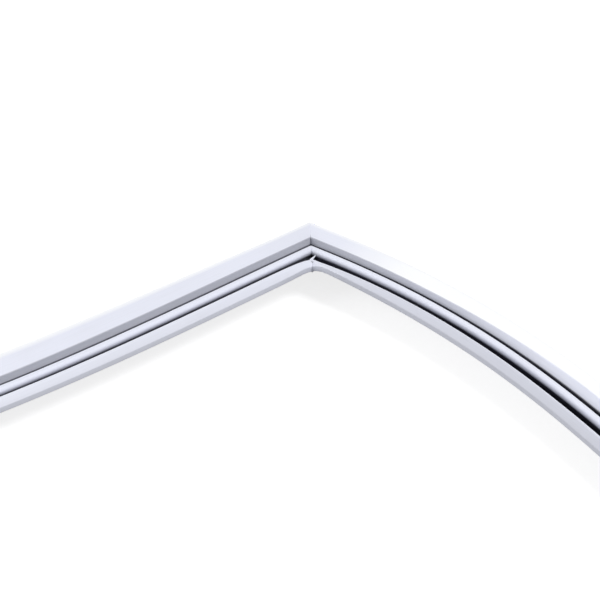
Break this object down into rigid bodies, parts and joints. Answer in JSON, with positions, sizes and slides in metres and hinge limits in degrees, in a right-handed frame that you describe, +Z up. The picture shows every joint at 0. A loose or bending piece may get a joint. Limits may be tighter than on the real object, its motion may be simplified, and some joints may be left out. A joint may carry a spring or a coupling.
{
  "type": "refrigerator_door_gasket",
  "caption": "closed rectangular loop of soft white PVC door seal with a magnet pocket, a rounded rib, an inner lip and mitre-welded corners",
  "frame": {"origin": "under the middle of the loop, on the surface that the tip of the dart lies on", "axes": "+X along the short sides, +Y along the long sides, +Z up towards the sealing face"},
  "size_m": [0.5886, 1.0396, 0.0242],
  "materials": {
    "soft_pvc": "satin",
    "magnet_rubber": "matte"
  },
  "bodies": {
    "root": {"gasket_frame": "soft_pvc", "magnet_strip_right": "magnet_rubber", "magnet_strip_top": "magnet_rubber", "magnet_strip_left": "magnet_rubber", "magnet_strip_bottom": "magnet_rubber"}
  },
  "joints": []
}
